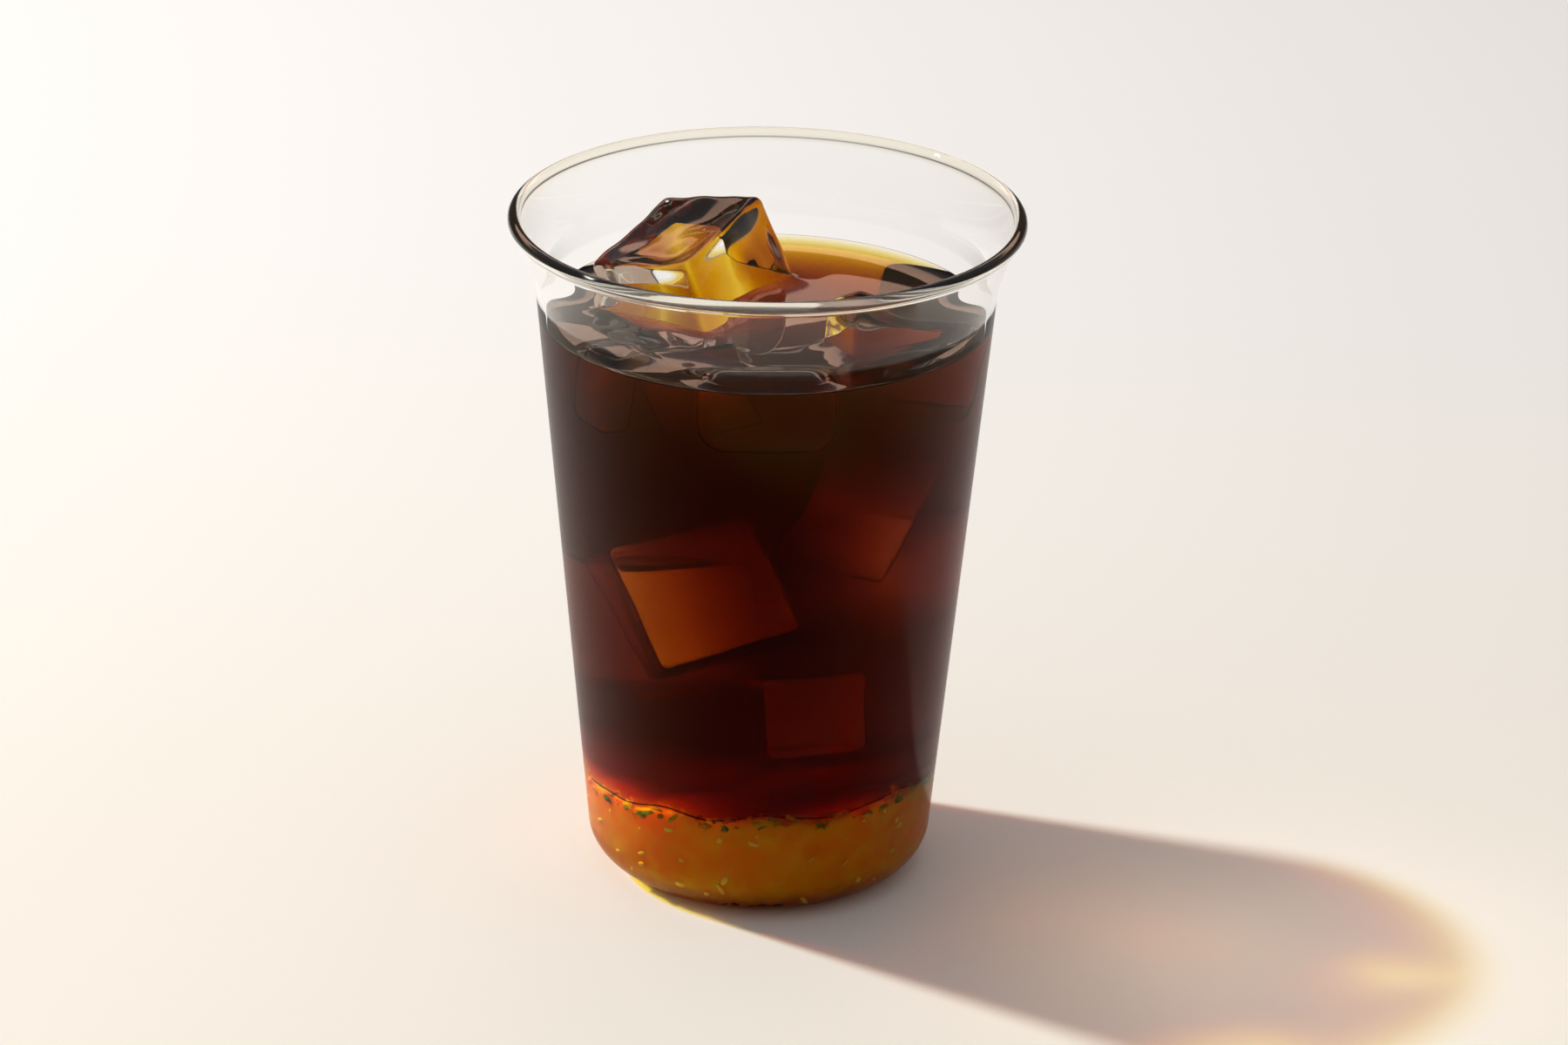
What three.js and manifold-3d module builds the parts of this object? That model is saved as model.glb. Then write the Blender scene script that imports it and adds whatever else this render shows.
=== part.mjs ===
// Iced coffee on a layer of citrus fruit, in the thin flared glass tumbler that holds it.
// Millimetres, +Z up, origin at the middle of the underside of the glass.

import * as THREE from 'three';
import { mergeVertices } from 'three/addons/utils/BufferGeometryUtils.js';
import Module from 'manifold-3d';

const wasm = await Module();
wasm.setup();

// Glass tumbler
const RIM_RADIUS = 42.5;
const HEIGHT = 115.8;
const NECK_RADIUS = 37.84;
const NECK_HEIGHT = 101.8;
const BASE_RADIUS = 29.0;
const FOOT_WIDTH = 9.0;
const FOOT_HEIGHT = 7.3;
const WALL = 1.3;
const FLOOR = 2.0;
const BEAD_RADIUS = 1.1;
const BEAD_OUTER_JOIN = -55;
const BEAD_INNER_JOIN = 190;
const FLARE_START = 4.5;
const FLARE_END = 5.0;
const FLARE_LEAN = 30;

// Drink
const CLEARANCE = 0.3;
const COFFEE_LEVEL = 97.5;
const MENISCUS_RISE = 0.9;
const MENISCUS_REACH = 1.3;
const FRUIT_LEVEL = 18.0;
const FRUIT_BANK = 1.6;
const FRUIT_HUMP = 1.0;
const BED_GAP = 0.5;

// Facets
const TURN_STEPS = 48;
const FOOT_STEPS = 5;
const FLARE_STEPS = 6;
const BEAD_STEPS = 8;
const BED_RINGS = 5;
const MENISCUS_STEPS = [0, 0.8, 2.0, 4.2];

const radians = THREE.MathUtils.degToRad;
const point = (across, up) => new THREE.Vector2(across, up);

// Ice blocks that break the surface: centre, edge lengths, turns about X, Y and Z in degrees,
// edge rounding, and how far each face has melted hollow as a share of the block's half size.
const ICE_BLOCKS = {
  ice_back_left: {
    centre: [-11.3, 13.9, 97.3], size: [22.8, 22.0, 22.5], turns: [-14.8, -15.6, 55.6],
    rounding: 1.7, hollow: 0.12, steps: 9,
  },
  ice_right: {
    centre: [20.9, -7.2, 94.4], size: [22.3, 11.8, 15.0], turns: [-28.3, 19.6, 22.6],
    rounding: 1.6, hollow: 0.05, steps: 7,
  },
  ice_front_left: {
    centre: [-9.2, -15.3, 91.9], size: [14.4, 8.4, 12.4], turns: [31.8, -21.1, 0],
    rounding: 1.2, hollow: 0.05, steps: 6,
  },
  ice_left: {
    centre: [-24.0, -17.6, 92.0], size: [8.6, 9.0, 13.0], turns: [6, 5, 38],
    rounding: 2.4, hollow: 0.02, steps: 6,
  },
  ice_front: {
    centre: [0.3, -28.4, 92.8], size: [21.5, 10.2, 13.0], turns: [8, 0, 2],
    rounding: 4.6, hollow: 0, steps: 6,
  },
};

const glassMaterial = new THREE.MeshStandardMaterial({
  color: '#e9efec', roughness: 0.03, metalness: 0, transparent: true, opacity: 0.35,
});
const coffeeMaterial = new THREE.MeshStandardMaterial({ color: '#2b1207', roughness: 0.05, metalness: 0 });
const fruitMaterial = new THREE.MeshStandardMaterial({ color: '#c9781a', roughness: 0.35, metalness: 0 });
const iceMaterial = new THREE.MeshStandardMaterial({ color: '#d9b98f', roughness: 0.08, metalness: 0 });

// Outer radius of the straight wall at a height.
function wallRadius(height) {
  const share = (height - FOOT_HEIGHT) / (NECK_HEIGHT - FOOT_HEIGHT);
  return THREE.MathUtils.lerp(BASE_RADIUS, NECK_RADIUS, share);
}

// Rounded corner between floor and wall, as a quarter ellipse moved in by the glass thickness.
function footCurve(inWall, inFloor) {
  const middle = BASE_RADIUS - FOOT_WIDTH;
  const curve = new THREE.EllipseCurve(
    middle, FOOT_HEIGHT, FOOT_WIDTH - inWall, FOOT_HEIGHT - inFloor, -Math.PI / 2, 0, false, 0);
  return curve.getPoints(FOOT_STEPS);
}

// Flared lip from the neck up to a point on the rim bead.
function flareCurve(inWall, end) {
  const rise = new THREE.Vector2(NECK_RADIUS - BASE_RADIUS, NECK_HEIGHT - FOOT_HEIGHT).normalize();
  const lean = point(Math.sin(radians(FLARE_LEAN)), Math.cos(radians(FLARE_LEAN)));
  const start = point(NECK_RADIUS - inWall, NECK_HEIGHT);
  const afterStart = start.clone().addScaledVector(rise, FLARE_START);
  const beforeEnd = end.clone().addScaledVector(lean, -FLARE_END);
  return new THREE.CubicBezierCurve(start, afterStart, beforeEnd, end).getPoints(FLARE_STEPS);
}

function tumbler() {
  const bead = new THREE.EllipseCurve(
    RIM_RADIUS - BEAD_RADIUS, HEIGHT - BEAD_RADIUS, BEAD_RADIUS, BEAD_RADIUS,
    radians(BEAD_OUTER_JOIN), radians(BEAD_INNER_JOIN), false, 0).getPoints(BEAD_STEPS);
  const outerFlare = flareCurve(0, bead[0]).slice(0, -1);
  const innerFlare = flareCurve(WALL, bead.at(-1)).slice(0, -1).reverse();
  const profile = [
    point(0, 0),
    ...footCurve(0, 0),
    ...outerFlare,
    ...bead,
    ...innerFlare,
    ...footCurve(WALL, FLOOR).reverse(),
    point(0, FLOOR),
  ];
  const geometry = new THREE.LatheGeometry(profile, TURN_STEPS);
  geometry.rotateX(Math.PI / 2);
  return geometry;
}

// Closed solid of rings stacked from a low pole to a high pole. A ring is a function that
// gives its point at an angle.
function loft(lowPole, rings, highPole) {
  const positions = [...lowPole];
  for (const ring of rings) {
    for (let step = 0; step < TURN_STEPS; step += 1) {
      positions.push(...ring((step / TURN_STEPS) * 2 * Math.PI));
    }
  }
  positions.push(...highPole);
  const at = (ring, step) => 1 + ring * TURN_STEPS + (step % TURN_STEPS);
  const last = rings.length - 1;
  const top = at(last, TURN_STEPS - 1) + 1;
  const triangles = [];
  for (let step = 0; step < TURN_STEPS; step += 1) {
    triangles.push(0, at(0, step + 1), at(0, step));
    triangles.push(at(last, step), at(last, step + 1), top);
    for (let ring = 0; ring < last; ring += 1) {
      triangles.push(at(ring, step), at(ring, step + 1), at(ring + 1, step));
      triangles.push(at(ring, step + 1), at(ring + 1, step + 1), at(ring + 1, step));
    }
  }
  const geometry = new THREE.BufferGeometry();
  geometry.setAttribute('position', new THREE.Float32BufferAttribute(positions, 3));
  geometry.setIndex(triangles);
  return geometry;
}

// Height of the uneven top of the fruit: banked up towards the viewer, with low humps.
function fruitTop(x, y) {
  const bank = FRUIT_BANK * (-y + 0.35 * x) / BASE_RADIUS;
  const hump = Math.sin(x / 5.1 + 0.8) * Math.cos(y / 6.3 - 0.5) + 0.4 * Math.sin(x / 2.9 - y / 3.7);
  return FRUIT_LEVEL + bank + FRUIT_HUMP * hump;
}

// Where the fruit's top meets the wall at an angle, raised by a lift.
function fruitShore(angle, lift) {
  const reach = wallRadius(FRUIT_LEVEL) - WALL - CLEARANCE;
  const height = fruitTop(reach * Math.cos(angle), reach * Math.sin(angle)) + lift;
  return ringPoint(wallRadius(height) - WALL - CLEARANCE, height, angle);
}

function ringPoint(radius, height, angle) {
  return [radius * Math.cos(angle), radius * Math.sin(angle), height];
}

// Rings over the fruit's top from the wall inwards, raised by a lift.
function bedRings(lift) {
  return Array.from({ length: BED_RINGS }, (_, index) => {
    const share = 1 - (index + 1) / (BED_RINGS + 1);
    const reach = share * (wallRadius(FRUIT_LEVEL) - WALL - CLEARANCE);
    return (angle) => {
      const [x, y] = ringPoint(reach, 0, angle);
      return [x, y, fruitTop(x, y) + lift];
    };
  });
}

function fruitLayer() {
  const lower = footCurve(WALL + CLEARANCE, FLOOR + CLEARANCE)
    .map((corner) => (angle) => ringPoint(corner.x, corner.y, angle));
  const rings = [...lower, (angle) => fruitShore(angle, 0), ...bedRings(0)];
  return loft([0, 0, FLOOR + CLEARANCE], rings, [0, 0, fruitTop(0, 0)]);
}

// Coffee before the ice is cut out of it: its surface climbs the wall in a small meniscus.
function coffeeBody() {
  const shore = (angle) => fruitShore(angle, BED_GAP);
  const surface = MENISCUS_STEPS.map((inwards) => {
    const height = COFFEE_LEVEL + MENISCUS_RISE * Math.exp(-inwards / MENISCUS_REACH);
    const radius = wallRadius(height) - WALL - CLEARANCE - inwards;
    return (angle) => ringPoint(radius, height, angle);
  });
  const rings = [...bedRings(BED_GAP).reverse(), shore, ...surface];
  return loft([0, 0, fruitTop(0, 0) + BED_GAP], rings, [0, 0, COFFEE_LEVEL]);
}

// A melted block: a box with rounded edges whose faces are hollow, made larger by a margin.
function iceGeometry({ centre, size, turns, rounding, hollow, steps }, margin = 0) {
  const half = new THREE.Vector3(...size).multiplyScalar(0.5).addScalar(margin);
  const core = half.clone().subScalar(rounding + margin);
  const geometry = new THREE.BoxGeometry(2, 2, 2, steps, steps, steps);
  const place = geometry.attributes.position;
  const spread = (share) => Math.sin(share * Math.PI / 2);
  for (let index = 0; index < place.count; index += 1) {
    const share = new THREE.Vector3(
      spread(place.getX(index)), spread(place.getY(index)), spread(place.getZ(index)));
    const flat = share.clone().multiply(half);
    const inner = flat.clone().clamp(core.clone().negate(), core);
    const rounded = flat.sub(inner).normalize().multiplyScalar(rounding + margin).add(inner);
    const sink = (one, other) => 1 - hollow * (1 - one * one) * (1 - other * other);
    rounded.multiply(new THREE.Vector3(
      sink(share.y, share.z), sink(share.x, share.z), sink(share.x, share.y)));
    place.setXYZ(index, rounded.x, rounded.y, rounded.z);
  }
  const turn = new THREE.Euler(...turns.map(radians), 'ZYX');
  geometry.applyMatrix4(new THREE.Matrix4().makeRotationFromEuler(turn));
  geometry.translate(...centre);
  return geometry;
}

function toManifold(geometry) {
  const bare = geometry.clone();
  bare.deleteAttribute('normal');
  bare.deleteAttribute('uv');
  const merged = mergeVertices(bare);
  return new wasm.Manifold(new wasm.Mesh({
    numProp: 3,
    vertProperties: new Float32Array(merged.attributes.position.array),
    triVerts: new Uint32Array(merged.index.array),
  }));
}

function toGeometry(manifold) {
  const mesh = manifold.getMesh();
  const geometry = new THREE.BufferGeometry();
  geometry.setAttribute('position', new THREE.BufferAttribute(mesh.vertProperties, 3));
  geometry.setIndex(new THREE.BufferAttribute(mesh.triVerts, 1));
  return geometry;
}

// Coffee with a hollow round every ice block.
function coffee() {
  let body = toManifold(coffeeBody());
  for (const block of Object.values(ICE_BLOCKS)) {
    body = body.subtract(toManifold(iceGeometry(block, CLEARANCE)));
  }
  return toGeometry(body);
}

function addPiece(group, name, geometry, material) {
  geometry.computeVertexNormals();
  const mesh = new THREE.Mesh(geometry, material);
  mesh.name = name;
  group.add(mesh);
}

const icedCoffee = new THREE.Group();
addPiece(icedCoffee, 'tumbler', tumbler(), glassMaterial);
addPiece(icedCoffee, 'fruit_layer', fruitLayer(), fruitMaterial);
addPiece(icedCoffee, 'coffee', coffee(), coffeeMaterial);
for (const [name, block] of Object.entries(ICE_BLOCKS)) {
  addPiece(icedCoffee, name, iceGeometry(block), iceMaterial);
}

export default icedCoffee;
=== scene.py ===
# Iced coffee on a layer of citrus fruit, in the thin flared glass tumbler that holds it.
# Shapes are worked out in millimetres here and become metres when a mesh is made.

import math
import random

import bpy
from mathutils import Euler, Matrix, Vector, noise
from mathutils.bvhtree import BVHTree


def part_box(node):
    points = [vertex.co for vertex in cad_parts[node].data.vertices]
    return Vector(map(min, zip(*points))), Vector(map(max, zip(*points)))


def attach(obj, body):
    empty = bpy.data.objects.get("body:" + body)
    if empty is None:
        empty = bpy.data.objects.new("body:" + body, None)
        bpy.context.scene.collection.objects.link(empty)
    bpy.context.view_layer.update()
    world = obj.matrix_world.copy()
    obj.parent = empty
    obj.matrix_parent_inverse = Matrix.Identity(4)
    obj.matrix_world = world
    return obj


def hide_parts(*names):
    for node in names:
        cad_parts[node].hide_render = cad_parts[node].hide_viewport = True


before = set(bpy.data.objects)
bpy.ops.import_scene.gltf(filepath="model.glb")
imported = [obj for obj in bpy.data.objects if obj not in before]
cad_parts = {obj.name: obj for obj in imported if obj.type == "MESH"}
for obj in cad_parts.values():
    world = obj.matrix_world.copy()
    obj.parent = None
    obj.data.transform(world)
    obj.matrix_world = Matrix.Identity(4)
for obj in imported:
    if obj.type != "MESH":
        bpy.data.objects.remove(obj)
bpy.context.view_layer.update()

MM = 0.001
BODY = "root"

# Glass tumbler, with its height and rim taken from the frame
rim_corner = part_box("tumbler")[1]
RIM_RADIUS = rim_corner.x / MM
HEIGHT = rim_corner.z / MM
NECK_RADIUS = 37.84
NECK_HEIGHT = 101.8
BASE_RADIUS = 29.0
FOOT_WIDTH = 9.0
FOOT_HEIGHT = 7.3
WALL = 1.3
FLOOR = 2.0
BEAD_RADIUS = 1.1
BEAD_OUTER_JOIN = -55
BEAD_INNER_JOIN = 190
FLARE_START = 4.5
FLARE_END = 5.0
FLARE_LEAN = 30

# Faces of the glass count as its inside where their normal leans in or up by more than this
INSIDE_LEAN = 0.02
INSIDE_RISE = 0.5

# Materials of the glass below the drink's surface and at the rim, as places in its list
WETTED_SLOT = 1
OUTER_SLOT = 2
RIM_SLOT = 3

# Coffee: its level, and how it climbs the wall and the ice. Distance to the ice is measured a
# little above the level. Each medium reaches into the next, so that no air gap shows.
OVERLAP = 0.12
COFFEE_LEVEL = 97.5
MENISCUS_RISE = 0.9
MENISCUS_REACH = 1.3
MENISCUS_PROBE = 0.3

# Top of the fruit: its level, its bank towards the viewer and a little to the right, and humps,
# as one wave across times one away from the viewer, and a smaller slanting wave
FRUIT_LEVEL = 18.0
FRUIT_BANK = 1.6
FRUIT_BANK_RIGHT = 0.35
FRUIT_HUMP = 1.0
HUMP_ACROSS = 5.1
HUMP_ACROSS_SHIFT = 0.8
HUMP_AWAY = 6.3
HUMP_AWAY_SHIFT = -0.5
SLANT_HUMP = 0.4
SLANT_ACROSS = 2.9
SLANT_AWAY = 3.7

# Fineness of the meshes. The pool's rings crowd towards the wall by a power below 1.
GLASS_TURNS = 192
FOOT_STEPS = 16
FLARE_STEPS = 20
BEAD_STEPS = 24
POOL_TURNS = 360
POOL_RINGS = 120
POOL_CROWDING = 0.8
BED_TURNS = 240
BED_RINGS = 36
BED_ROUNDS = 3
WALL_STEPS = 12
ICE_STEPS = 36
SAC_RINGS = 6
SAC_SIDES = 8

# Edges sharper than this stay sharp, in degrees
SMOOTH_ALL = 180
BED_SHARP_ANGLE = 60
CUT_SHARP_ANGLE = 35

# Refraction
GLASS_IOR = 1.47
COFFEE_IOR = 1.335
SYRUP_IOR = 1.36
ICE_IOR = 1.31

# Light taken up by each millimetre, in red, green and blue
COFFEE_TAKES = (0.058, 0.152, 0.70)
SYRUP_TAKES = (0.002, 0.035, 0.80)
NOTHING = (0, 0, 0)

# Haze in the coffee: light scattered by each millimetre, how far it keeps forwards, its colour
HAZE_SCATTERS = 0.013
HAZE_FORWARD = 0.6
HAZE_COLOUR = (1.0, 0.9, 0.75)

# How much of a clear surface's mirroring is left where it is met head on. Surfaces inside the
# drink overlap their neighbours, so they mirror almost nothing.
DRINK_MIRROR = 0.06
GLASS_MIRROR = 0.5
RIM_MIRROR = 0.8
ICE_MIRROR = 0.8

# Share of the mirroring that is left where the drink backs the glass, inside and outside
WETTED_SHARE = 0.0
OUTER_SHARE = 0.45

PLAIN = (1, 1, 1)
RIM_TINT = (0.97, 0.96, 0.87)

# Camera, fitted to the tumbler's outline
PHOTO_WIDTH = 1800
CAMERA_DISTANCE = 1000.0
CAMERA_ELEVATION = 23.18
CAMERA_AIM_HEIGHT = 60.0
CAMERA_YAW = 0.20
CAMERA_PITCH = 0.03
CAMERA_ROLL = 0.86
FOCAL_PIXELS = 6877.16
SENSOR_WIDTH = 36.0

# Key light: a small round lamp behind the glass on the left. Azimuth turns from straight behind
# towards the left.
KEY_AZIMUTH = 64.5
KEY_ELEVATION = 50.0
KEY_DISTANCE = 1600.0
KEY_WIDTH = 90.0
KEY_POWER = 22.0
KEY_COLOUR = (1.0, 0.96, 0.90)

# Studio: dim beside the glass and above it, dark towards the viewer and low behind. Bounds are
# parts of a unit direction away from the viewer, or upwards for the change from low to high.
BACK_GLOW = 0.16
SIDE_GLOW = 0.44
FRONT_GLOW = 0.11
HIGH_GLOW = 0.38
FRONT_BOUNDS = (-0.75, -0.05)
BACK_BOUNDS = (0.5, 0.85)
HIGH_BOUNDS = (0.38, 0.46)
LOW_COLOUR = (1.0, 0.72, 0.52)
HIGH_COLOUR = (0.95, 0.99, 1.06)

# Bright warm band behind the glass, above the dark: a sharp lower edge and a soft upper one, as
# sines of elevation
BAND_LOWER_EDGE = (0.369, 0.373)
BAND_UPPER_EDGE = (0.46, 0.52)
BAND_SIDES = (0.55, 0.8)
BAND_GLOW = 2.3
BAND_COLOUR = (1.0, 0.60, 0.42)

# Floor: warmer near the viewer than far behind the glass
FLOOR_SIZE = 6000.0
FLOOR_NEAR = -80.0
FLOOR_FAR = 340.0
FLOOR_NEAR_COLOUR = (0.875, 0.84, 0.77)
FLOOR_FAR_COLOUR = (0.82, 0.825, 0.82)

# Ice blocks that break the surface, as in the frame: centre, edge lengths, turns in degrees,
# edge rounding, and how far each face has melted hollow as a share of half the block's size.
# Ripple is the height of the melted waves, and a dish is a hollow in the upper face.
TOP_ICE = {
    "ice_back_left": {
        "centre": (-11.3, 13.9, 97.3), "size": (22.8, 22.0, 22.5), "turns": (-14.8, -15.6, 55.6),
        "rounding": 1.7, "hollow": 0.12, "ripple": 0.45, "dish": (-0.6, -0.35),
    },
    "ice_right": {
        "centre": (20.9, -7.2, 94.4), "size": (22.3, 11.8, 15.0), "turns": (-28.3, 19.6, 22.6),
        "rounding": 1.6, "hollow": 0.05, "ripple": 0.5, "dish": (0.4, 0.1),
    },
    "ice_front_left": {
        "centre": (-9.2, -15.3, 91.9), "size": (14.4, 8.4, 12.4), "turns": (31.8, -21.1, 0),
        "rounding": 1.2, "hollow": 0.05, "ripple": 0.4,
    },
    "ice_left": {
        "centre": (-24.0, -17.6, 92.0), "size": (8.6, 9.0, 13.0), "turns": (6, 5, 38),
        "rounding": 2.4, "hollow": 0.02, "ripple": 0.2,
    },
    "ice_front": {
        "centre": (0.3, -28.4, 92.8), "size": (21.5, 10.2, 13.0), "turns": (8, 0, 2),
        "rounding": 4.6, "hollow": 0.0, "ripple": 0.1,
    },
}

# Ice blocks wholly sunk in the coffee, with the same measures
SUNK_ICE = {
    "sunk_ice_middle": {
        "centre": (-8.4, -10.6, 54.6), "size": (23.0, 21.0, 22.0), "turns": (-24.9, -20.4, 7.0),
        "rounding": 1.6, "hollow": 0.05, "ripple": 0.3,
    },
    "sunk_ice_back": {
        "centre": (-10.5, 16.0, 41.0), "size": (18.0, 15.0, 23.0), "turns": (-10, -5, 30),
        "rounding": 1.8, "hollow": 0.05, "ripple": 0.3,
    },
    "sunk_ice_right": {
        "centre": (12.4, -7.4, 69.6), "size": (17.0, 18.0, 15.0), "turns": (24.5, 23.4, 5.9),
        "rounding": 1.6, "hollow": 0.05, "ripple": 0.3,
    },
    "sunk_ice_low": {
        "centre": (7.6, -14.6, 34.8), "size": (16.0, 16.0, 14.5), "turns": (-14, -2.3, 8.3),
        "rounding": 1.8, "hollow": 0.05, "ripple": 0.4,
    },
    "sunk_ice_far": {
        "centre": (12.5, 12.0, 52.0), "size": (16.0, 16.0, 18.0), "turns": (10, 14, -30),
        "rounding": 1.8, "hollow": 0.05, "ripple": 0.3,
    },
}

# Length of the ice's ripples, and the dish: its depth, its width as a share of half the face,
# and the power that keeps it to the upper face
RIPPLE_LENGTH = 5.5
DISH_DEPTH = 1.1
DISH_WIDTH = 0.42
DISH_POWER = 8

# Pulp: a body a little inside the syrup, ruffled at the size of juice sacs. Its side moves in by
# the ruffle and up by a part of it, and its top moves down by a few times as much.
PULP_INSET = 0.4
PULP_SINK = 0.8
PULP_RUFFLE = 0.7
RUFFLE_RISE = 0.5
RUFFLE_RISE_SCALE = 1.3
RUFFLE_TOP = 2
SAC_SIZE = 3.1
GRAIN_SIZE = 1.3
GRAIN_SHIFT = (7, 3, 1)
SAC_SHARE = 1.2
GRAIN_SHARE = 0.6

# Soft matter: the size of its patches, its two tones, how deep light goes in, and what share of
# that depth red, green and blue reach
SOFT = {
    "citrus_pulp": {
        "patch": 5.0, "dark": (1.0, 0.22, 0.004), "light": (1.0, 0.32, 0.012),
        "depth": 24.0, "reach": (1.0, 0.25, 0.03),
    },
    "pale_flecks": {
        "patch": 1.5, "dark": (1.0, 0.50, 0.06), "light": (1.0, 0.66, 0.20),
        "depth": 0.4, "reach": (1.0, 0.6, 0.4),
    },
    "dark_specks": {
        "patch": 1.0, "dark": (0.05, 0.02, 0.008), "light": (0.10, 0.04, 0.015),
        "depth": 0.2, "reach": (1.0, 0.4, 0.2),
    },
}
PATCH_BOUNDS = (0.35, 0.68)

# Small bits behind the glass: how many, a seed, the bounds of their length, width and depth, how
# far below or above the fruit's shore they lie, and how far they lean, in degrees. A bottom is a
# height above the table instead.
BITS = {
    "pale_flecks": {
        "count": 60, "seed": 3, "length": (0.5, 2.4), "width": (0.4, 1.3), "depth": (0.1, 0.6),
        "bottom": 3.0, "high": -3.0, "lean": 60,
    },
    "pulp_sacs": {
        "count": 300, "seed": 9, "length": (1.2, 3.4), "width": (0.5, 1.1), "depth": (0.1, 2.5),
        "low": -2.4, "high": -0.3, "lean": 50,
    },
    "dark_specks": {
        "count": 160, "seed": 5, "length": (0.3, 1.0), "width": (0.08, 0.2), "depth": (0.05, 0.6),
        "low": -2.2, "high": 0.4, "lean": 50,
    },
}
BIT_CROOK = 0.12
BIT_CROOK_SCALE = 1.1


def lerp(low, high, share):
    """The value at a share of the way from low to high."""
    return low + (high - low) * share


def wall_radius(height):
    """Outer radius of the straight wall at a height."""
    return lerp(BASE_RADIUS, NECK_RADIUS, (height - FOOT_HEIGHT) / (NECK_HEIGHT - FOOT_HEIGHT))


def inner_radius(height):
    """Radius to which a liquid reaches: just inside the glass of the wall."""
    return wall_radius(height) - WALL + OVERLAP


def arc(centre, across, up, start, end, steps):
    """Points on an ellipse from one angle to another, in degrees."""
    angles = [math.radians(lerp(start, end, step / steps)) for step in range(steps + 1)]
    return [(centre[0] + across * math.cos(a), centre[1] + up * math.sin(a)) for a in angles]


def foot_curve(in_wall, in_floor):
    """Rounded corner between floor and wall, moved in by the glass thickness."""
    middle = (BASE_RADIUS - FOOT_WIDTH, FOOT_HEIGHT)
    return arc(middle, FOOT_WIDTH - in_wall, FOOT_HEIGHT - in_floor, -90, 0, FOOT_STEPS)


def flare_curve(in_wall, end):
    """Flared lip from the neck up to a point on the rim bead, as a cubic curve."""
    rise = Vector((NECK_RADIUS - BASE_RADIUS, NECK_HEIGHT - FOOT_HEIGHT)).normalized()
    lean = Vector((math.sin(math.radians(FLARE_LEAN)), math.cos(math.radians(FLARE_LEAN))))
    first = Vector((NECK_RADIUS - in_wall, NECK_HEIGHT))
    last = Vector(end)
    second = first + rise * FLARE_START
    third = last - lean * FLARE_END
    points = []
    for step in range(FLARE_STEPS + 1):
        t = step / FLARE_STEPS
        s = 1 - t
        points.append(tuple(first * s**3 + second * 3 * s * s * t + third * 3 * s * t * t + last * t**3))
    return points


def add_mesh(name, points, faces, material, sharp_angle=SMOOTH_ALL):
    """A smooth mesh object from points in millimetres, with edges sharp beyond an angle."""
    mesh = bpy.data.meshes.new(name)
    mesh.from_pydata([tuple(value * MM for value in point) for point in points], [], faces)
    mesh.validate()
    mesh.polygons.foreach_set("use_smooth", [True] * len(mesh.polygons))
    if sharp_angle < SMOOTH_ALL:
        mesh.set_sharp_from_angle(angle=math.radians(sharp_angle))
    mesh.materials.append(material)
    piece = bpy.data.objects.new(name, mesh)
    bpy.context.scene.collection.objects.link(piece)
    return piece


def ring_faces(rings, turns):
    """Faces that join a low pole, rings of points and a high pole, turned outwards."""
    top = 1 + rings * turns
    faces = []
    for step in range(turns):
        after = (step + 1) % turns
        faces.append((0, 1 + after, 1 + step))
        for ring in range(rings - 1):
            low = 1 + ring * turns
            high = low + turns
            faces.append((low + step, low + after, high + after, high + step))
        last = 1 + (rings - 1) * turns
        faces.append((last + step, last + after, top))
    return faces


def revolve(profile, turns):
    """Points and faces of a profile turned round the axis. It starts and ends on the axis."""
    points = [(0, 0, profile[0][1])]
    rings = profile[1:-1]
    for radius, height in rings:
        for step in range(turns):
            angle = 2 * math.pi * step / turns
            points.append((radius * math.cos(angle), radius * math.sin(angle), height))
    points.append((0, 0, profile[-1][1]))
    return points, ring_faces(len(rings), turns)


def tumbler(dry, wetted, outer, rim):
    """The glass, with the face that the drink touches, the outside of that and the rim in
    materials of their own."""
    bead = arc(
        (RIM_RADIUS - BEAD_RADIUS, HEIGHT - BEAD_RADIUS), BEAD_RADIUS, BEAD_RADIUS,
        BEAD_OUTER_JOIN, BEAD_INNER_JOIN, BEAD_STEPS)
    outside = flare_curve(0, bead[0])[:-1]
    inside = flare_curve(WALL, bead[-1])[:-1][::-1]
    profile = [(0, 0)] + foot_curve(0, 0) + outside + bead + inside
    profile += foot_curve(WALL, FLOOR)[::-1] + [(0, FLOOR)]
    points, faces = revolve(profile, GLASS_TURNS)
    piece = add_mesh("clear_tumbler", points, faces, dry)
    for material in (wetted, outer, rim):
        piece.data.materials.append(material)
    for face in piece.data.polygons:
        place = face.center / MM
        outwards = face.normal.x * place.x + face.normal.y * place.y
        leans_in = outwards < -INSIDE_LEAN * math.hypot(place.x, place.y)
        if place.z < COFFEE_LEVEL + MENISCUS_RISE:
            touched = leans_in or face.normal.z > INSIDE_RISE
            face.material_index = WETTED_SLOT if touched else OUTER_SLOT
        elif place.z > HEIGHT - 2 * BEAD_RADIUS:
            face.material_index = RIM_SLOT
    return piece


def fruit_top(x, y):
    """Height of the uneven top of the fruit: banked up towards the viewer, with low humps."""
    bank = FRUIT_BANK * (-y + FRUIT_BANK_RIGHT * x) / BASE_RADIUS
    hump = math.sin(x / HUMP_ACROSS + HUMP_ACROSS_SHIFT) * math.cos(y / HUMP_AWAY + HUMP_AWAY_SHIFT)
    slant = SLANT_HUMP * math.sin(x / SLANT_ACROSS - y / SLANT_AWAY)
    return FRUIT_LEVEL + bank + FRUIT_HUMP * (hump + slant)


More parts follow.
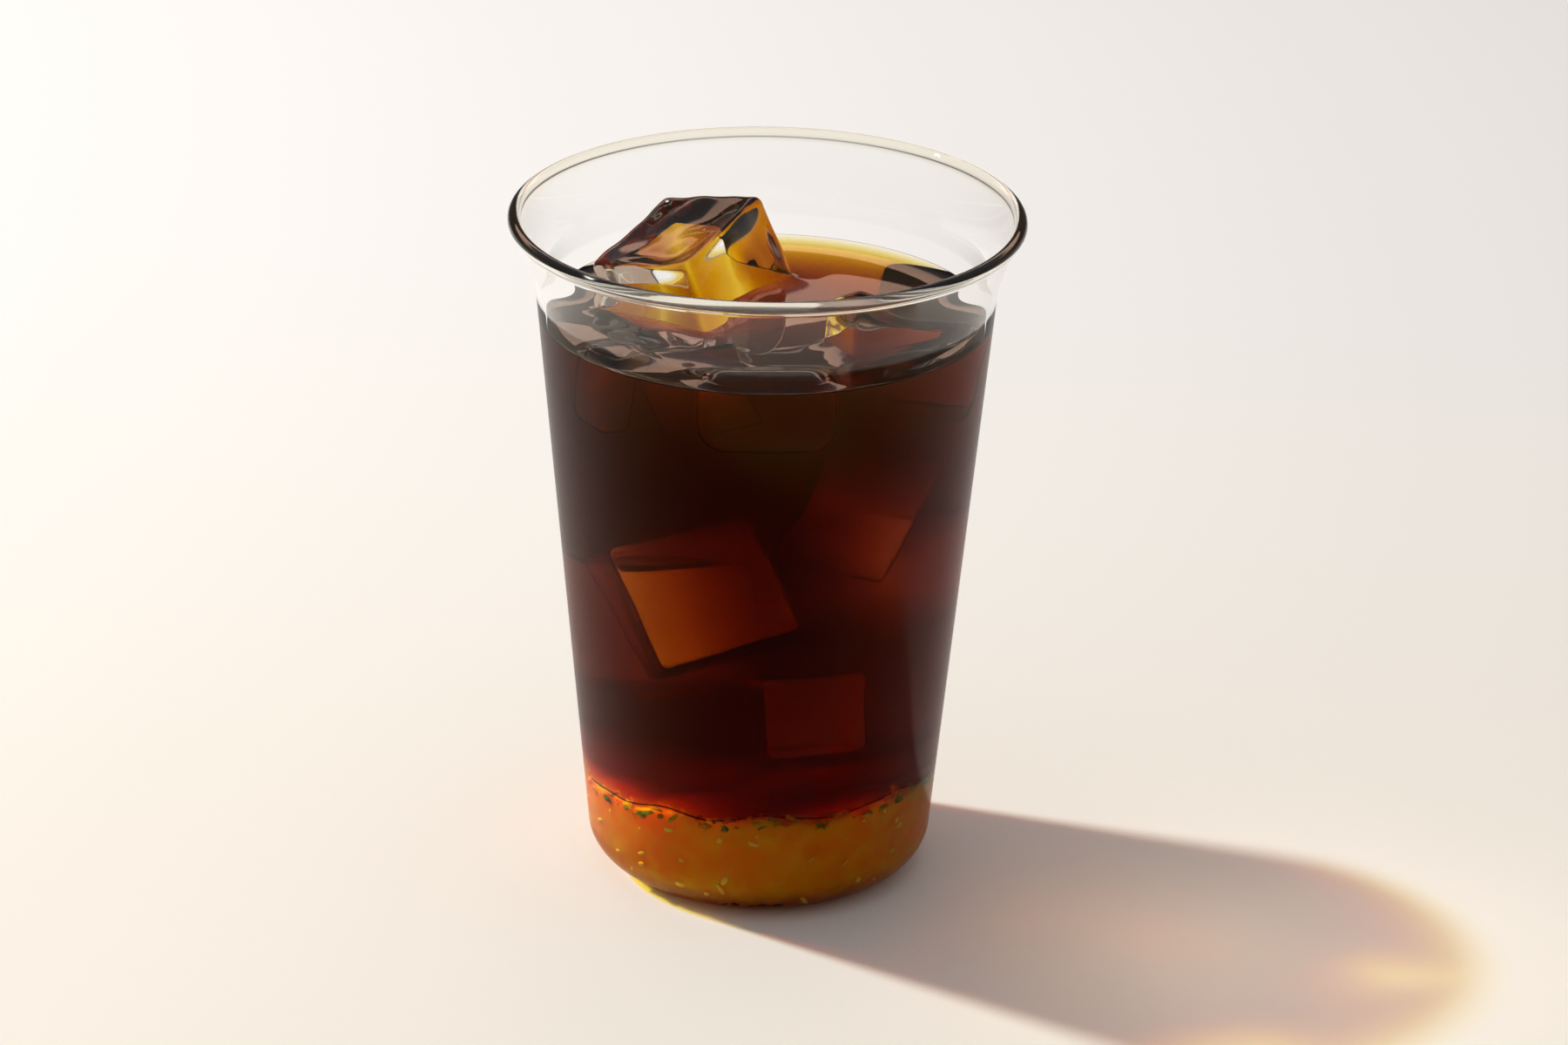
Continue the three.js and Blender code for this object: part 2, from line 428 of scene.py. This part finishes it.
def bed_ring(share, lift, turns):
    """One ring over the fruit's top, at a share of the way out to the wall. The wall leans, so
    the ring's reach and height settle over a few rounds."""
    points = []
    for step in range(turns):
        angle = 2 * math.pi * step / turns
        height = FRUIT_LEVEL
        for _ in range(BED_ROUNDS):
            reach = share * inner_radius(height)
            height = fruit_top(reach * math.cos(angle), reach * math.sin(angle)) + lift
        points.append((reach * math.cos(angle), reach * math.sin(angle), height))
    return points


def pulp_noise(spot):
    """Soft bumps from 0 to 1 at the size of juice sacs."""
    wide = noise.noise(spot / SAC_SIZE)
    fine = noise.noise(spot / GRAIN_SIZE + Vector(GRAIN_SHIFT))
    return 0.5 + 0.5 * max(-1, min(1, SAC_SHARE * wide + GRAIN_SHARE * fine))


def fruit_body(name, material, inset, sink, ruffle):
    """The fruit layer's shape, drawn in from the glass by an inset and from its top by a sink,
    and ruffled inwards by a soft noise."""
    rings = [[corner] * BED_TURNS for corner in foot_curve(WALL + inset, FLOOR + inset)]
    shore = bed_ring(1.0, 0, BED_TURNS)
    for level in range(1, WALL_STEPS + 1):
        heights = [lerp(FOOT_HEIGHT, z - sink, level / WALL_STEPS) for _, _, z in shore]
        rings.append([(wall_radius(height) - WALL - inset, height) for height in heights])
    points = [(0, 0, FLOOR + inset)]
    for ring in rings:
        for step, (radius, height) in enumerate(ring):
            angle = 2 * math.pi * step / BED_TURNS
            spot = Vector((radius * math.cos(angle), radius * math.sin(angle), height))
            away = 1 - ruffle * pulp_noise(spot) / max(radius, 1)
            rise = RUFFLE_RISE * ruffle * pulp_noise(spot * RUFFLE_RISE_SCALE)
            points.append((spot.x * away, spot.y * away, spot.z + rise))
    for ring in range(BED_RINGS - 1, 0, -1):
        share = ring / BED_RINGS * (1 - inset / BASE_RADIUS)
        for x, y, z in bed_ring(share, -sink, BED_TURNS):
            points.append((x, y, z - RUFFLE_TOP * ruffle * pulp_noise(Vector((x, y, z)))))
    middle = RUFFLE_TOP * ruffle * pulp_noise(Vector((0, 0, FRUIT_LEVEL)))
    points.append((0, 0, fruit_top(0, 0) - sink - middle))
    faces = ring_faces(len(rings) + BED_RINGS - 1, BED_TURNS)
    return add_mesh(name, points, faces, material, BED_SHARP_ANGLE)


def ice_shape(block, margin):
    """Points and faces of a melted block, made larger by a margin: rounded edges, hollow faces."""
    half = Vector(block["size"]) / 2 + Vector((margin,) * 3)
    rounding = block["rounding"] + margin
    core = half - Vector((rounding,) * 3)
    turn = Euler([math.radians(value) for value in block["turns"]], "XYZ").to_matrix()
    centre = Vector(block["centre"])
    hollow = block["hollow"]
    index = {}
    points = []
    faces = []

    def corner(share):
        """Index of the point at a share of the way to each face, made when first met."""
        key = tuple(round(value, 6) for value in share)
        if key not in index:
            flat = Vector([s * h for s, h in zip(share, half)])
            inner = Vector([max(-c, min(c, f)) for f, c in zip(flat, core)])
            spot = (flat - inner).normalized() * rounding + inner
            a, b, c = share
            spot.x *= 1 - hollow * (1 - b * b) * (1 - c * c)
            spot.y *= 1 - hollow * (1 - a * a) * (1 - c * c)
            spot.z *= 1 - hollow * (1 - a * a) * (1 - b * b)
            spot += spot.normalized() * block["ripple"] * noise.noise(spot / RIPPLE_LENGTH + centre)
            if "dish" in block and c > 0:
                away = math.hypot(a - block["dish"][0], b - block["dish"][1]) / DISH_WIDTH
                spot.z -= DISH_DEPTH * math.exp(-away * away) * c ** DISH_POWER
            index[key] = len(points)
            points.append(turn @ spot + centre)
        return index[key]

    spread = [math.sin((2 * step / ICE_STEPS - 1) * math.pi / 2) for step in range(ICE_STEPS + 1)]
    for axis in range(3):
        for side in (-1, 1):
            for row in range(ICE_STEPS):
                for column in range(ICE_STEPS):
                    ring = []
                    for across, up in ((0, 0), (1, 0), (1, 1), (0, 1)):
                        share = [0, 0, 0]
                        share[axis] = side
                        share[(axis + 1) % 3] = spread[row + across]
                        share[(axis + 2) % 3] = spread[column + up]
                        ring.append(corner(share))
                    faces.append(ring if side > 0 else ring[::-1])
    return points, faces


def top_block(name, shape, sunk, dry):
    """An ice block that breaks the surface, in one material below the coffee's edge and another
    above it."""
    points, faces = shape
    piece = add_mesh("clear_" + name, points, faces, sunk)
    piece.data.materials.append(dry)
    for face in piece.data.polygons:
        face.material_index = int(face.center.z > (COFFEE_LEVEL + MENISCUS_RISE) * MM)
    return piece


def pool_height(x, y, walls):
    """Height of the coffee's surface, which climbs the wall and the ice that breaks it."""
    away = inner_radius(COFFEE_LEVEL) - math.hypot(x, y)
    spot = Vector((x, y, COFFEE_LEVEL + MENISCUS_PROBE))
    for tree in walls:
        distance = tree.find_nearest(spot)[3]
        away = min(away, distance)
    return COFFEE_LEVEL + MENISCUS_RISE * math.exp(-max(away, 0) / MENISCUS_REACH)


def coffee_body(material, walls):
    """The coffee before the ice is cut out of it."""
    points = [(0, 0, fruit_top(0, 0) - OVERLAP)]
    for ring in range(1, BED_RINGS + 1):
        points += bed_ring(ring / BED_RINGS, -OVERLAP, POOL_TURNS)
    shore = points[-POOL_TURNS:]
    edge_height = COFFEE_LEVEL + MENISCUS_RISE
    for level in range(1, WALL_STEPS + 1):
        for x, y, z in shore:
            height = lerp(z, edge_height, level / WALL_STEPS)
            grow = inner_radius(height) / math.hypot(x, y)
            points.append((x * grow, y * grow, height))
    for ring in range(POOL_RINGS - 1, 0, -1):
        share = math.sin(math.pi / 2 * ring / POOL_RINGS) ** POOL_CROWDING
        radius = inner_radius(edge_height) * share
        for step in range(POOL_TURNS):
            angle = 2 * math.pi * step / POOL_TURNS
            x = radius * math.cos(angle)
            y = radius * math.sin(angle)
            points.append((x, y, pool_height(x, y, walls)))
    points.append((0, 0, pool_height(0, 0, walls)))
    rings = BED_RINGS + WALL_STEPS + POOL_RINGS - 1
    return add_mesh("black_coffee", points, ring_faces(rings, POOL_TURNS), material)


def cut_out(body, tools):
    """Takes the tools' space out of the body and removes them."""
    basket = bpy.data.collections.new("cutters")
    for tool in tools:
        bpy.context.scene.collection.objects.unlink(tool)
        basket.objects.link(tool)
    cut = body.modifiers.new("ice", "BOOLEAN")
    cut.operation = "DIFFERENCE"
    cut.operand_type = "COLLECTION"
    cut.collection = basket
    cut.solver = "MANIFOLD"
    bpy.context.view_layer.update()
    shaped = body.evaluated_get(bpy.context.evaluated_depsgraph_get())
    result = bpy.data.meshes.new_from_object(shaped)
    body.modifiers.clear()
    body.data = result
    for tool in tools:
        bpy.data.objects.remove(tool)
    bpy.data.collections.remove(basket)
    result.polygons.foreach_set("use_smooth", [True] * len(result.polygons))
    result.set_sharp_from_angle(angle=math.radians(CUT_SHARP_ANGLE))


def coffee_haze(coffee, material):
    """The coffee's own shape a little smaller, filled with haze."""
    mesh = coffee.data.copy()
    mesh.materials.clear()
    mesh.materials.append(material)
    inset = [vertex.co - vertex.normal * OVERLAP * 0.5 * MM for vertex in mesh.vertices]
    mesh.vertices.foreach_set("co", [value for spot in inset for value in spot])
    haze = bpy.data.objects.new("coffee_haze", mesh)
    bpy.context.scene.collection.objects.link(haze)
    return haze


def spindle(centre, along, length, width):
    """Points and faces of one juice sac: a plump spindle that lies along a direction."""
    lie = along.to_track_quat("Z", "Y").to_matrix()
    points = [centre + lie @ Vector((0, 0, -length / 2))]
    for ring in range(1, SAC_RINGS + 1):
        angle = math.pi * ring / (SAC_RINGS + 1)
        height = -length / 2 * math.cos(angle)
        radius = width / 2 * math.sin(angle)
        for side in range(SAC_SIDES):
            turn = 2 * math.pi * side / SAC_SIDES
            points.append(centre + lie @ Vector((radius * math.cos(turn), radius * math.sin(turn), height)))
    points.append(centre + lie @ Vector((0, 0, length / 2)))
    return points, ring_faces(SAC_RINGS, SAC_SIDES)


def joined(parts):
    """Many small shapes as one list of points and one of faces."""
    points = []
    faces = []
    for shape_points, shape_faces in parts:
        start = len(points)
        points += shape_points
        faces += [tuple(start + corner for corner in face) for face in shape_faces]
    return points, faces


def near_wall(angle, height, depth):
    """A point at a depth behind the inside of the glass."""
    if height < FOOT_HEIGHT:
        drop = 1 - (height - FLOOR) / (FOOT_HEIGHT - FLOOR)
        wall = BASE_RADIUS - FOOT_WIDTH + (FOOT_WIDTH - WALL) * math.sqrt(max(0, 1 - drop * drop))
    else:
        wall = wall_radius(height) - WALL
    radius = wall - depth
    return Vector((radius * math.cos(angle), radius * math.sin(angle), height))


def shore_height(angle):
    """Height of the fruit's top where it meets the glass."""
    radius = wall_radius(FRUIT_LEVEL) - WALL
    return fruit_top(radius * math.cos(angle), radius * math.sin(angle))


def lying(angle, lean):
    """A direction along the wall at an angle, leaning up by so many degrees."""
    along = Vector((-math.sin(angle), math.cos(angle), 0))
    return along * math.cos(math.radians(lean)) + Vector((0, 0, math.sin(math.radians(lean))))


def scatter(name, material):
    """Small crooked spindles behind the glass all round, drawn within the bounds of their kind."""
    kind = BITS[name]
    draw = random.Random(kind["seed"])
    parts = []
    for _ in range(kind["count"]):
        angle = draw.uniform(0, 2 * math.pi)
        shore = shore_height(angle)
        low = kind["bottom"] if "bottom" in kind else shore + kind["low"]
        height = draw.uniform(low, shore + kind["high"])
        length = draw.uniform(*kind["length"])
        width = min(length, draw.uniform(*kind["width"]))
        centre = near_wall(angle, height, width / 2 + draw.uniform(*kind["depth"]))
        along = lying(angle, draw.uniform(-kind["lean"], kind["lean"]))
        parts.append(spindle(centre, along, length, width))
    points, faces = joined(parts)
    points = [point + BIT_CROOK * noise.noise_vector(point * BIT_CROOK_SCALE) for point in points]
    return add_mesh(name, points, faces, material)


def clear_to_lamps(material, surface):
    """Gives the material a surface that lets lamps' light straight through."""
    nodes = material.node_tree.nodes
    links = material.node_tree.links
    clear = nodes.new("ShaderNodeBsdfTransparent")
    path = nodes.new("ShaderNodeLightPath")
    pick = nodes.new("ShaderNodeMixShader")
    links.new(path.outputs["Is Shadow Ray"], pick.inputs[0])
    links.new(surface.outputs[0], pick.inputs[1])
    links.new(clear.outputs[0], pick.inputs[2])
    links.new(pick.outputs[0], nodes["Material Output"].inputs["Surface"])


def see_through(name, ior, takes, mirror, tint=PLAIN):
    """A clear material that bends light, takes up light by its depth and lets lamps through."""
    material = bpy.data.materials.new(name)
    material.use_nodes = True
    nodes = material.node_tree.nodes
    surface = nodes["Principled BSDF"]
    surface.inputs["Base Color"].default_value = (*tint, 1)
    surface.inputs["Roughness"].default_value = 0.0
    surface.inputs["IOR"].default_value = ior
    surface.inputs["Transmission Weight"].default_value = 1.0
    surface.inputs["Specular Tint"].default_value = (mirror, mirror, mirror, 1)
    clear_to_lamps(material, surface)
    most = max(takes)
    if most > 0:
        depth = nodes.new("ShaderNodeVolumeAbsorption")
        depth.inputs["Color"].default_value = (*[1 - value / most for value in takes], 1)
        depth.inputs["Density"].default_value = most / MM
        material.node_tree.links.new(depth.outputs[0], nodes["Material Output"].inputs["Volume"])
    return material


def backed_glass(name, mirror_share):
    """Glass with the drink behind it: it bends light, and mirrors only a share of what the
    surfaces inside the drink do."""
    material = see_through(name, GLASS_IOR, NOTHING, DRINK_MIRROR)
    nodes = material.node_tree.nodes
    bend = nodes.new("ShaderNodeBsdfRefraction")
    bend.inputs["Roughness"].default_value = 0.0
    bend.inputs["IOR"].default_value = GLASS_IOR
    share = nodes.new("ShaderNodeMixShader")
    share.inputs[0].default_value = mirror_share
    material.node_tree.links.new(bend.outputs[0], share.inputs[1])
    material.node_tree.links.new(nodes["Principled BSDF"].outputs[0], share.inputs[2])
    clear_to_lamps(material, share)
    return material


def haze_material():
    """A faint cloud of fine matter in the coffee, which only scatters light."""
    material = bpy.data.materials.new("coffee_haze")
    material.use_nodes = True
    nodes = material.node_tree.nodes
    nodes.remove(nodes["Principled BSDF"])
    cloud = nodes.new("ShaderNodeVolumeScatter")
    cloud.inputs["Color"].default_value = (*HAZE_COLOUR, 1)
    cloud.inputs["Density"].default_value = HAZE_SCATTERS / MM
    cloud.inputs["Anisotropy"].default_value = HAZE_FORWARD
    material.node_tree.links.new(cloud.outputs[0], nodes["Material Output"].inputs["Volume"])
    return material


def cloudy_colour(nodes, links, size, low, high):
    """A colour that changes softly between two tones over patches of a size in millimetres."""
    place = nodes.new("ShaderNodeNewGeometry")
    cloud = nodes.new("ShaderNodeTexNoise")
    cloud.inputs["Scale"].default_value = 1 / (size * MM)
    cloud.inputs["Detail"].default_value = 3.0
    cloud.inputs["Distortion"].default_value = 0.6
    ramp = nodes.new("ShaderNodeValToRGB")
    for element, position, colour in zip(ramp.color_ramp.elements, PATCH_BOUNDS, (low, high)):
        element.position = position
        element.color = (*colour, 1)
    links.new(place.outputs["Position"], cloud.inputs["Vector"])
    links.new(cloud.outputs["Fac"], ramp.inputs["Fac"])
    return ramp.outputs["Color"]


def flesh(name):
    """Soft wet matter that light wanders through, in two cloudy tones."""
    soft = SOFT[name]
    material = bpy.data.materials.new(name)
    material.use_nodes = True
    nodes = material.node_tree.nodes
    links = material.node_tree.links
    surface = nodes["Principled BSDF"]
    surface.inputs["Roughness"].default_value = 0.45
    surface.inputs["Specular IOR Level"].default_value = 0.1
    surface.inputs["Subsurface Weight"].default_value = 1.0
    surface.inputs["Subsurface Radius"].default_value = soft["reach"]
    surface.inputs["Subsurface Scale"].default_value = soft["depth"] * MM
    tone = cloudy_colour(nodes, links, soft["patch"], soft["dark"], soft["light"])
    links.new(tone, surface.inputs["Base Color"])
    return material


def ease(nodes, links, value, bounds, low, high):
    """A smooth change from low to high as the value crosses the bounds. Low and high are numbers
    or outputs of other nodes."""
    ramp = nodes.new("ShaderNodeMapRange")
    ramp.interpolation_type = "SMOOTHSTEP"
    ramp.inputs["From Min"].default_value = bounds[0]
    ramp.inputs["From Max"].default_value = bounds[1]
    for socket, end in ((ramp.inputs["To Min"], low), (ramp.inputs["To Max"], high)):
        if isinstance(end, (int, float)):
            socket.default_value = end
        else:
            links.new(end, socket)
    links.new(value, ramp.inputs["Value"])
    return ramp.outputs["Result"]


def two_tone(nodes, links, value, bounds, first, second):
    """A smooth change between two colours as the value crosses the bounds."""
    tone = nodes.new("ShaderNodeMix")
    tone.data_type = "RGBA"
    share, start, end = (tone.inputs[place] for place in (0, 6, 7))
    start.default_value = (*first, 1)
    end.default_value = (*second, 1)
    links.new(ease(nodes, links, value, bounds, 0.0, 1.0), share)
    return tone.outputs[2]


def floor_material():
    """Pale floor that turns warmer towards the viewer."""
    material = bpy.data.materials.new("pale_floor")
    material.use_nodes = True
    nodes = material.node_tree.nodes
    links = material.node_tree.links
    surface = nodes["Principled BSDF"]
    surface.inputs["Roughness"].default_value = 0.7
    surface.inputs["Specular IOR Level"].default_value = 0.2
    place = nodes.new("ShaderNodeNewGeometry")
    split = nodes.new("ShaderNodeSeparateXYZ")
    links.new(place.outputs["Position"], split.inputs[0])
    bounds = (FLOOR_NEAR * MM, FLOOR_FAR * MM)
    tone = two_tone(nodes, links, split.outputs["Y"], bounds, FLOOR_NEAR_COLOUR, FLOOR_FAR_COLOUR)
    links.new(tone, surface.inputs["Base Color"])
    return material


def add_floor():
    """The plain floor that the glass stands on."""
    size = FLOOR_SIZE
    points = [(-size, -size, 0), (size, -size, 0), (size, size, 0), (-size, size, 0)]
    floor = add_mesh("floor", points, [(0, 1, 2, 3)], floor_material())


def add_camera():
    """The camera at the photograph's viewing angle, aimed at the middle of the glass."""
    camera = bpy.data.objects.new("camera", bpy.data.cameras.new("camera"))
    bpy.context.scene.collection.objects.link(camera)
    rise = math.radians(CAMERA_ELEVATION)
    aim = Vector((0, 0, CAMERA_AIM_HEIGHT))
    place = aim + CAMERA_DISTANCE * Vector((0, -math.cos(rise), math.sin(rise)))
    camera.location = place * MM
    base = (aim - place).to_track_quat("-Z", "Y").to_matrix()
    turn = base @ Matrix.Rotation(math.radians(-CAMERA_YAW), 3, "Y")
    turn = turn @ Matrix.Rotation(math.radians(CAMERA_PITCH), 3, "X")
    turn = turn @ Matrix.Rotation(math.radians(CAMERA_ROLL), 3, "Z")
    camera.rotation_euler = turn.to_euler()
    camera.data.sensor_width = SENSOR_WIDTH
    camera.data.lens = FOCAL_PIXELS * SENSOR_WIDTH / PHOTO_WIDTH
    camera.data.clip_start = 0.01
    camera.data.clip_end = 50.0
    bpy.context.scene.camera = camera


def add_key_light():
    """The key light, which isn't seen itself through the glass."""
    lamp = bpy.data.lights.new("window", "AREA")
    lamp.shape = "DISK"
    lamp.size = KEY_WIDTH * MM
    lamp.energy = KEY_POWER
    lamp.color = KEY_COLOUR
    light = bpy.data.objects.new("window", lamp)
    bpy.context.scene.collection.objects.link(light)
    rise = math.radians(KEY_ELEVATION)
    side = math.radians(KEY_AZIMUTH)
    towards = Vector((-math.sin(side) * math.cos(rise), math.cos(side) * math.cos(rise), math.sin(rise)))
    light.location = towards * KEY_DISTANCE * MM
    light.rotation_euler = (-towards).to_track_quat("-Z", "Y").to_euler()
    light.visible_transmission = False


def add_world():
    """Dim beside and above the glass, dark in front and low behind, with a warm band behind."""
    world = bpy.data.worlds.new("studio")
    bpy.context.scene.world = world
    world.use_nodes = True
    nodes = world.node_tree.nodes
    links = world.node_tree.links
    place = nodes.new("ShaderNodeTexCoord")
    split = nodes.new("ShaderNodeSeparateXYZ")
    links.new(place.outputs["Generated"], split.inputs[0])
    depth = split.outputs["Y"]
    height = split.outputs["Z"]
    front = ease(nodes, links, depth, FRONT_BOUNDS, FRONT_GLOW, SIDE_GLOW)
    low = ease(nodes, links, depth, BACK_BOUNDS, front, BACK_GLOW)
    glow = ease(nodes, links, height, HIGH_BOUNDS, low, HIGH_GLOW)
    background = nodes["Background"]
    tone = two_tone(nodes, links, height, HIGH_BOUNDS, LOW_COLOUR, HIGH_COLOUR)
    links.new(tone, background.inputs["Color"])
    links.new(glow, background.inputs["Strength"])
    rise = ease(nodes, links, height, BAND_LOWER_EDGE, 0.0, BAND_GLOW)
    fall = ease(nodes, links, height, BAND_UPPER_EDGE, rise, 0.0)
    spread = ease(nodes, links, depth, BAND_SIDES, 0.0, fall)
    band = nodes.new("ShaderNodeBackground")
    band.inputs["Color"].default_value = (*BAND_COLOUR, 1)
    links.new(spread, band.inputs["Strength"])
    both = nodes.new("ShaderNodeAddShader")
    links.new(background.outputs[0], both.inputs[0])
    links.new(band.outputs[0], both.inputs[1])
    links.new(both.outputs[0], nodes["World Output"].inputs["Surface"])
    world.cycles.sampling_method = "NONE"


def set_rendering():
    """Plain tones, and enough bounces for glass inside glass."""
    scene = bpy.context.scene
    scene.view_settings.view_transform = "Standard"
    scene.cycles.max_bounces = 28
    scene.cycles.transmission_bounces = 24
    scene.cycles.transparent_max_bounces = 40
    scene.cycles.diffuse_bounces = 10
    scene.cycles.glossy_bounces = 10
    scene.cycles.sample_clamp_indirect = 6.0
    scene.cycles.use_denoising = True


def place_piece(piece, slot, *nodes):
    """Puts the piece on the part's body, in place of the frame's nodes if any. The slot is not used."""
    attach(piece, BODY)
    if nodes:
        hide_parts(*nodes)


add_camera()
set_rendering()
add_world()
add_key_light()
add_floor()

# Glass
glass_material = see_through("clear_glass", GLASS_IOR, NOTHING, GLASS_MIRROR)
wetted_material = backed_glass("wetted_glass", WETTED_SHARE)
outer_material = backed_glass("outer_glass", OUTER_SHARE)
rim_material = see_through("rim_glass", GLASS_IOR, NOTHING, RIM_MIRROR, RIM_TINT)
glass = tumbler(glass_material, wetted_material, outer_material, rim_material)
place_piece(glass, "clear_glass", "tumbler")

# Fruit: syrup that fills the layer, the pulp in it, and small bits
syrup_material = see_through("fruit_syrup", SYRUP_IOR, SYRUP_TAKES, DRINK_MIRROR)
pulp_material = flesh("citrus_pulp")
place_piece(fruit_body("fruit_syrup", syrup_material, -OVERLAP, -OVERLAP, 0), "fruit", "fruit_layer")
place_piece(fruit_body("citrus_pulp", pulp_material, PULP_INSET, PULP_SINK, PULP_RUFFLE), "fruit")
place_piece(scatter("pale_flecks", flesh("pale_flecks")), "fruit")
place_piece(scatter("pulp_sacs", pulp_material), "fruit")
place_piece(scatter("dark_specks", flesh("dark_specks")), "fruit")

# Coffee, with every ice block cut out of it, and its haze
coffee_material = see_through("black_coffee", COFFEE_IOR, COFFEE_TAKES, DRINK_MIRROR)
top_shapes = {name: ice_shape(block, 0) for name, block in TOP_ICE.items()}
walls = [BVHTree.FromPolygons(points, faces) for points, faces in top_shapes.values()]
coffee = coffee_body(coffee_material, walls)
cutters = []
for name, block in {**TOP_ICE, **SUNK_ICE}.items():
    points, faces = ice_shape(block, -OVERLAP)
    cutters.append(add_mesh(name + "_hollow", points, faces, coffee_material))
cut_out(coffee, cutters)
place_piece(coffee, "coffee", "coffee")
place_piece(coffee_haze(coffee, haze_material()), "coffee")

# Ice
ice_material = see_through("clear_ice", ICE_IOR, NOTHING, ICE_MIRROR)
sunk_ice_material = see_through("sunk_ice", ICE_IOR, NOTHING, DRINK_MIRROR)
for name, shape in top_shapes.items():
    place_piece(top_block(name, shape, sunk_ice_material, ice_material), "ice", name)
for name, block in SUNK_ICE.items():
    points, faces = ice_shape(block, 0)
    place_piece(add_mesh(name, points, faces, sunk_ice_material), "ice")
